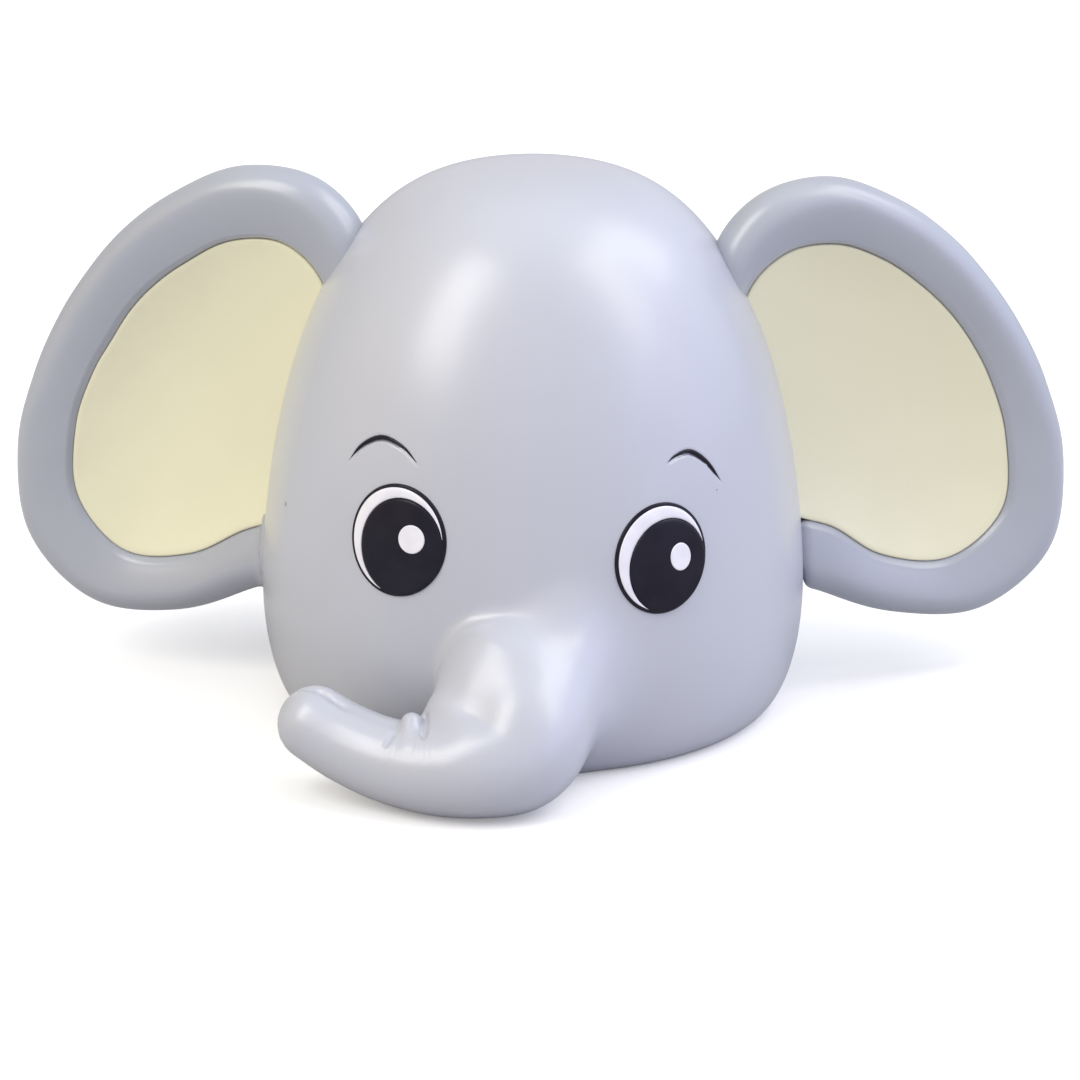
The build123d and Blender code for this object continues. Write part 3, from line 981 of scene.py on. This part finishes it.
def oval(radii, tilt=0.0, centre=(0.0, 0.0), steps=OVAL_STEPS):
    turn = np.linspace(0, 2 * math.pi, steps, endpoint=False)
    x, y = radii[0] * np.cos(turn), radii[1] * np.sin(turn)
    across = centre[0] + x * math.cos(tilt) - y * math.sin(tilt)
    up = centre[1] + x * math.sin(tilt) + y * math.cos(tilt)
    return np.stack([across, up], 1)


def raised_patch(patch, edge, centre, foot, top, bevel):
    """A closed patch on the skin: its edge rounds over from foot to top within the bevel's width."""
    centre = np.array(centre)
    reach = np.linalg.norm(edge - centre, axis=1).mean()
    rings = [(0.5, foot), (1.0, foot)]
    for turn in np.linspace(0, 90, 6):
        rise = math.sin(math.radians(turn))
        inset = bevel / reach * (1 - math.cos(math.radians(turn)))
        rings.append((1.0 - inset, foot + (top - foot) * rise))
    rings.extend((share * (1 - bevel / reach), top) for share in (0.93, 0.8, 0.6, 0.4, 0.2, 0.06))
    spread = edge - centre
    return np.array([patch.lay(centre + spread * share, np.full(len(edge), lift)) for share, lift in rings])


def joined_patches(name, patches, material):
    corners, faces = [], []
    for points in patches:
        faces.extend(ring_faces(points, sum(map(len, corners))))
        corners.append(hubs(points))
    made = mesh_object(name, np.vstack(corners), faces, material)
    face_outwards(made)
    return made


def iris_edge(side_name):
    """The iris oval, cut off where it would pass the eye's own edge."""
    centre = np.array(IRIS_SHIFT[side_name])
    iris = oval(IRIS_RADII[side_name], EYE_TILT[side_name], centre)
    radii = np.array(EYE_RADII[side_name]) - 0.15
    tilt = EYE_TILT[side_name]
    turn = np.array([[math.cos(tilt), math.sin(tilt)], [-math.sin(tilt), math.cos(tilt)]])
    size = np.linalg.norm((iris @ turn.T) / radii, axis=1)
    for _ in range(12):
        pulled_in = centre + (iris - centre) * (1 - 0.5 * (size[:, None] - 1))
        iris = np.where((size > 1)[:, None], pulled_in, iris)
        size = np.linalg.norm((iris @ turn.T) / radii, axis=1)
    return iris


def crescent_loops(side_name):
    """Sections across the white crescent, from one tip to the other."""
    tilt = EYE_TILT[side_name]
    outer = oval(np.array(EYE_RADII[side_name]) - EYE_RIM, tilt, steps=720)
    centre = np.array(IRIS_SHIFT[side_name])
    radii = np.array(IRIS_RADII[side_name]) + 0.02
    turn = np.array([[math.cos(tilt), math.sin(tilt)], [-math.sin(tilt), math.cos(tilt)]])
    local = (outer - centre) @ turn.T
    size = np.linalg.norm(local / radii, axis=1)
    open_part = size > 1.0
    start = int(np.argmax(open_part & ~np.roll(open_part, 1)))
    order = np.roll(np.arange(len(outer)), -start)
    run = order[: int(open_part.sum())]
    rim = outer[run]
    inner = centre + (rim - centre) / size[run][:, None]
    keep = np.linspace(0, len(run) - 1, 90).astype(int)
    return rim[keep], inner[keep]


CRESCENT_SECTION = (  # share of the way across, and height over the skin
    (0, 0.25),
    (0, 0.42),
    (0.06, 0.5),
    (0.2, 0.56),
    (0.5, 0.57),
    (0.8, 0.56),
    (0.94, 0.5),
    (1, 0.42),
    (1, 0.25),
)


def crescent_mesh(name, patch, side_name):
    rim, inner = crescent_loops(side_name)
    loops = []
    for share, lift in CRESCENT_SECTION:
        drawn = rim + (inner - rim) * share
        loops.append(patch.lay(drawn, np.full(len(drawn), lift)))
    loops = np.array(loops)
    count, length = loops.shape[:2]
    faces = []
    for ring in range(count):
        low, high = ring * length, (ring + 1) % count * length
        for step in range(length - 1):
            faces.append((low + step, low + step + 1, high + step + 1, high + step))
    faces.append([ring * length for ring in range(count)])
    faces.append([ring * length + length - 1 for ring in reversed(range(count))])
    made = mesh_object(name, loops.reshape(-1, 3), faces, enamel_white)
    face_outwards(made)
    return made


def finish_piece(made, body, node, slot):
    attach(made, body)
    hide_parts(node)
    print(made.name, len(made.data.polygons), "faces")


def make_eye(side_name):
    patch = SkinPatch(*EYE_PLACES[side_name])
    outline = oval(EYE_RADII[side_name], EYE_TILT[side_name])
    iris = iris_edge(side_name)
    black = joined_patches(
        side_name + "_eye_black",
        [
            raised_patch(patch, outline, (0, 0), -0.4, 0.4, 0.3),
            raised_patch(patch, iris, IRIS_SHIFT[side_name], 0.1, 0.72, 0.55),
        ],
        enamel_black,
    )
    finish_piece(black, "head", side_name + "_eye_disc", "black_enamel")
    white = crescent_mesh(side_name + "_eye_crescent", patch, side_name)
    finish_piece(white, "head", side_name + "_eye_white", "white_enamel")
    glint_edge = oval(GLINT_RADII[side_name], 0.0, GLINT_SHIFT[side_name], steps=48)
    glint = joined_patches(
        side_name + "_eye_glint_dot",
        [raised_patch(patch, glint_edge, GLINT_SHIFT[side_name], 0.5, 0.9, 0.25)],
        enamel_white,
    )
    finish_piece(glint, "head", side_name + "_eye_glint", "white_enamel")


for side_name in SIDES:
    make_eye(side_name)

# %% [markdown]
# ## The brows
# A brow is one stroke of enamel in a shallow groove: it swells in the middle and dies away at both ends.
# That is a path with a changing thickness, which is what Geometry Nodes' Curve to Mesh is for. The tree
# takes the stroke's points, sets the radius from a sine of the place along it, and sweeps an oval.

# %% A tree that sweeps a tapering stroke
def stroke_tree():
    tree = bpy.data.node_groups.new("tapering_stroke", "GeometryNodeTree")
    face = tree.interface
    face.new_socket("Geometry", in_out="INPUT", socket_type="NodeSocketGeometry")
    for label, amount in (("Half Width", 0.00056), ("Flatness", 0.55), ("Taper", 0.8)):
        face.new_socket(label, in_out="INPUT", socket_type="NodeSocketFloat").default_value = amount
    face.new_socket("Material", in_out="INPUT", socket_type="NodeSocketMaterial")
    face.new_socket("Geometry", in_out="OUTPUT", socket_type="NodeSocketGeometry")
    node, link = tree.nodes.new, tree.links.new
    given, result = node("NodeGroupInput"), node("NodeGroupOutput")
    path = node("GeometryNodeMeshToCurve")
    place = node("GeometryNodeSplineParameter")
    turn, sine, swell, size = (node("ShaderNodeMath") for _ in range(4))
    turn.operation, turn.inputs[1].default_value = "MULTIPLY", math.pi
    sine.operation = "SINE"
    swell.operation = "POWER"
    size.operation = "MULTIPLY_ADD"
    size.inputs[2].default_value = 0.00003
    radius = node("GeometryNodeSetCurveRadius")
    oval_section = node("GeometryNodeCurvePrimitiveCircle")
    oval_section.inputs["Resolution"].default_value = 16
    oval_section.inputs["Radius"].default_value = 1.0
    squash = node("GeometryNodeTransform")
    flat = node("ShaderNodeCombineXYZ")
    flat.inputs["Y"].default_value = 1.0
    flat.inputs["Z"].default_value = 1.0
    sweep = node("GeometryNodeCurveToMesh")
    sweep.inputs["Fill Caps"].default_value = True
    shade = node("GeometryNodeSetShadeSmooth")
    realize, paint = node("GeometryNodeRealizeInstances"), node("GeometryNodeSetMaterial")
    link(given.outputs["Geometry"], path.inputs["Mesh"])
    link(place.outputs["Factor"], turn.inputs[0])
    link(turn.outputs[0], sine.inputs[0])
    link(sine.outputs[0], swell.inputs[0])
    link(given.outputs["Taper"], swell.inputs[1])
    link(swell.outputs[0], size.inputs[0])
    link(given.outputs["Half Width"], size.inputs[1])
    link(path.outputs["Curve"], radius.inputs["Curve"])
    link(size.outputs[0], radius.inputs["Radius"])
    link(given.outputs["Flatness"], flat.inputs["X"])
    link(oval_section.outputs["Curve"], squash.inputs["Geometry"])
    link(flat.outputs["Vector"], squash.inputs["Scale"])
    link(radius.outputs["Curve"], sweep.inputs["Curve"])
    link(squash.outputs["Geometry"], sweep.inputs["Profile Curve"])
    if "Scale" in sweep.inputs:
        link(size.outputs[0], sweep.inputs["Scale"])
    link(sweep.outputs["Mesh"], shade.inputs["Geometry"])
    link(shade.outputs["Geometry"], realize.inputs["Geometry"])
    link(realize.outputs["Geometry"], paint.inputs["Geometry"])
    link(given.outputs["Material"], paint.inputs["Material"])
    link(paint.outputs["Geometry"], result.inputs["Geometry"])
    return tree


stroke = stroke_tree()


def run_tree(made, tree, **inputs):
    """Runs a tree on an object and keeps the plain mesh that comes out."""
    step = made.modifiers.new("tree", "NODES")
    step.node_group = tree
    for item in tree.interface.items_tree:
        if item.in_out == "INPUT" and item.name.replace(" ", "_") in inputs:
            step[item.identifier] = inputs[item.name.replace(" ", "_")]
    graph = bpy.context.evaluated_depsgraph_get()
    plain = bpy.data.meshes.new_from_object(made.evaluated_get(graph))
    made.modifiers.remove(step)
    old, made.data = made.data, plain
    plain.name = made.name
    bpy.data.meshes.remove(old)
    return made


def make_brow(side_name):
    line = brow_line(side_name, sink=0.12)[:, :3]
    name = side_name + "_brow_stroke"
    mesh = bpy.data.meshes.new(name)
    mesh.from_pydata(to_frame(line).tolist(), [(i, i + 1) for i in range(len(line) - 1)], [])
    brow = new_object(name, mesh)
    run_tree(brow, stroke, Half_Width=BROW_HALF_WIDTH * MM, Flatness=0.8, Taper=0.8, Material=enamel_black)
    face_outwards(brow)
    finish_piece(brow, "head", side_name + "_brow", "black_enamel")


for side_name in SIDES:
    make_brow(side_name)

# %% [markdown]
# ## The closure underneath
# The collar, the gasket and the stopper are turned and moulded parts that the imported model already has the
# right shape for. A real moulding has no knife edges, so each is a copy of the imported mesh with its
# corners eased by a small bevel: the collar and stopper in harder, duller plastic than the head, the gasket
# in rubber.

# %% Hard plastic and rubber
def seal_rubber():
    finish = Finish("seal_rubber", ior=1.5)
    dust = finish.noise(0.0025, detail=3.0).ramp(0.55, 0.75)
    finish.feed(
        Base_Color=finish.blend(dust, (0.022, 0.022, 0.024), (0.07, 0.07, 0.072)),
        Roughness=0.6 + 0.2 * finish.noise(0.002),
    )
    finish.relief(finish.noise(0.0006), 0.00003)
    return finish.material


rubber = seal_rubber()
plastic = drifting(
    Finish("hard_plastic", ior=1.46),
    0.02,
    (0.27, 0.28, 0.33),
    (0.31, 0.32, 0.37),
    roughness=(0.4, 0.15, 0.0015),
    grain=(0.0004, 0.000015, 1.0),
)
EASED = {
    "base_collar": ("head", "base_collar_ring", 0.00025, plastic, "hard_plastic"),
    "stopper_gasket": ("gasket", "gasket_ring", 0.0003, rubber, "seal_rubber"),
    "stopper": ("stopper", "twist_stopper", 0.00028, plastic, "hard_plastic"),
}


def eased_copy(node, name, width, material):
    """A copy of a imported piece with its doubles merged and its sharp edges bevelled."""
    work = bmesh.new()
    work.from_mesh(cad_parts[node].data)
    bmesh.ops.remove_doubles(work, verts=work.verts, dist=2e-6)
    bmesh.ops.dissolve_limit(
        work, angle_limit=math.radians(1.0), verts=work.verts, edges=work.edges, delimit={"NORMAL"}
    )
    steep = math.radians(35)
    sharp = [edge for edge in work.edges if len(edge.link_faces) == 2 and edge.calc_face_angle(0.0) > steep]
    bmesh.ops.bevel(
        work, geom=sharp, offset=width, segments=2, profile=0.5, affect="EDGES", clamp_overlap=True
    )
    bmesh.ops.triangulate(work, faces=work.faces)
    mesh = bpy.data.meshes.new(name)
    work.to_mesh(mesh)
    work.free()
    mesh.materials.clear()
    mesh.materials.append(material)
    shade_smooth(mesh)
    mesh.set_sharp_from_angle(angle=math.radians(32))
    return new_object(name, mesh)


for node, (body, name, width, material, slot) in EASED.items():
    finish_piece(eased_copy(node, name, width, material), body, node, slot)
